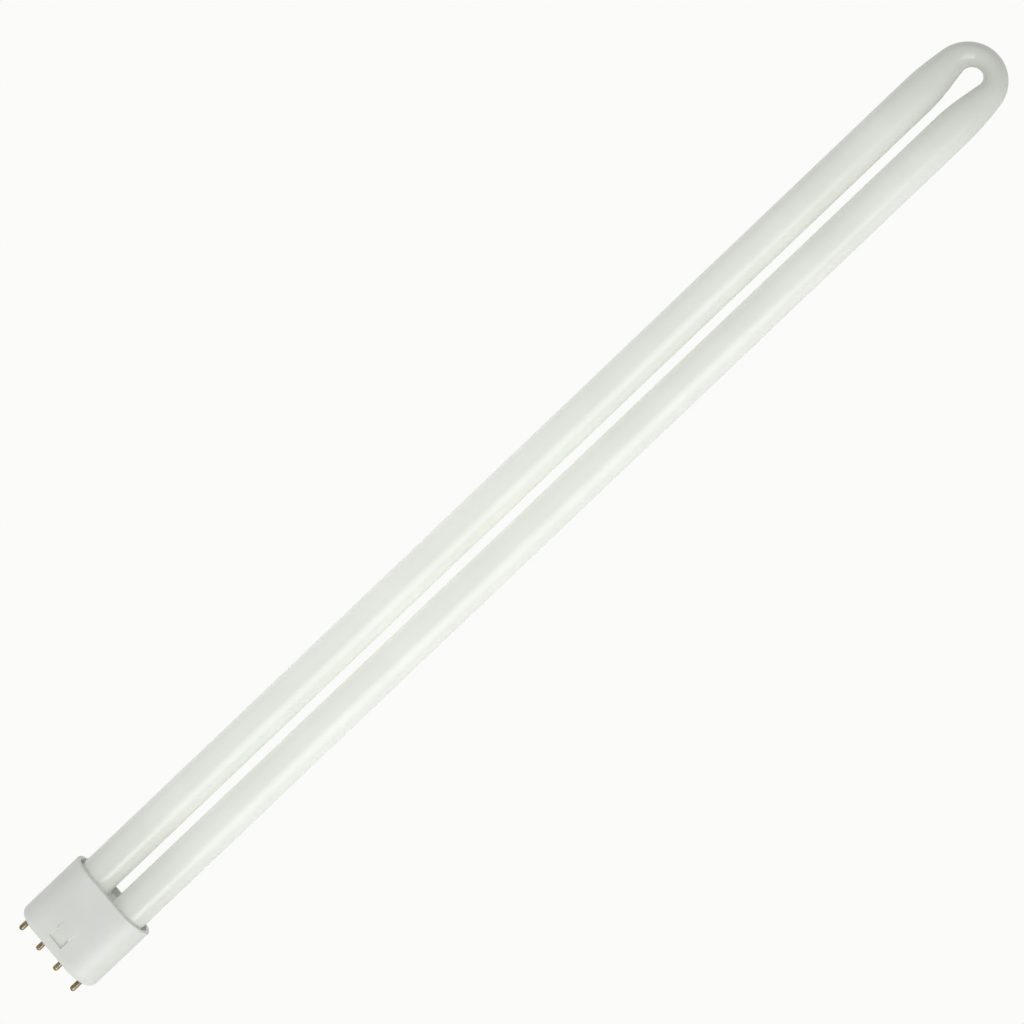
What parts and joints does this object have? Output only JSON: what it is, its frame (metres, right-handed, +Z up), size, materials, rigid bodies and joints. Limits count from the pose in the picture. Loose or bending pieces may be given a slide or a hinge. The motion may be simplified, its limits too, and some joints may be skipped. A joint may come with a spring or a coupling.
{
  "type": "compact fluorescent lamp",
  "caption": "Long twin-tube compact fluorescent lamp: a white coated glass tube bent into a U, cemented into a moulded plug-in base with a row of brass contact pins.",
  "frame": {"origin": "centre of the base's pin face, on the lamp's axis", "axes": "+X from the pin face along the tubes to the bend, +Y across the two legs, +Z up out of the base's front broad side; the lamp lies on its back"},
  "size_m": [0.5306, 0.0428, 0.0236],
  "materials": {
    "coated_glass": "smooth glass, coated white inside, opaque",
    "base_plastic": "satin moulded white",
    "cement": "cast, dull",
    "pin_brass": "turned, slightly tarnished",
    "lead_metal": "drawn nickel-iron wire"
  },
  "bodies": {
    "root": {"discharge_tube": "coated_glass", "base_housing": "base_plastic", "base_cement": "cement", "contact_pin_1": "pin_brass", "contact_pin_2": "pin_brass", "contact_pin_3": "pin_brass", "contact_pin_4": "pin_brass", "lead_wire_1": "lead_metal", "lead_wire_2": "lead_metal", "lead_wire_3": "lead_metal", "lead_wire_4": "lead_metal"}
  },
  "joints": []
}
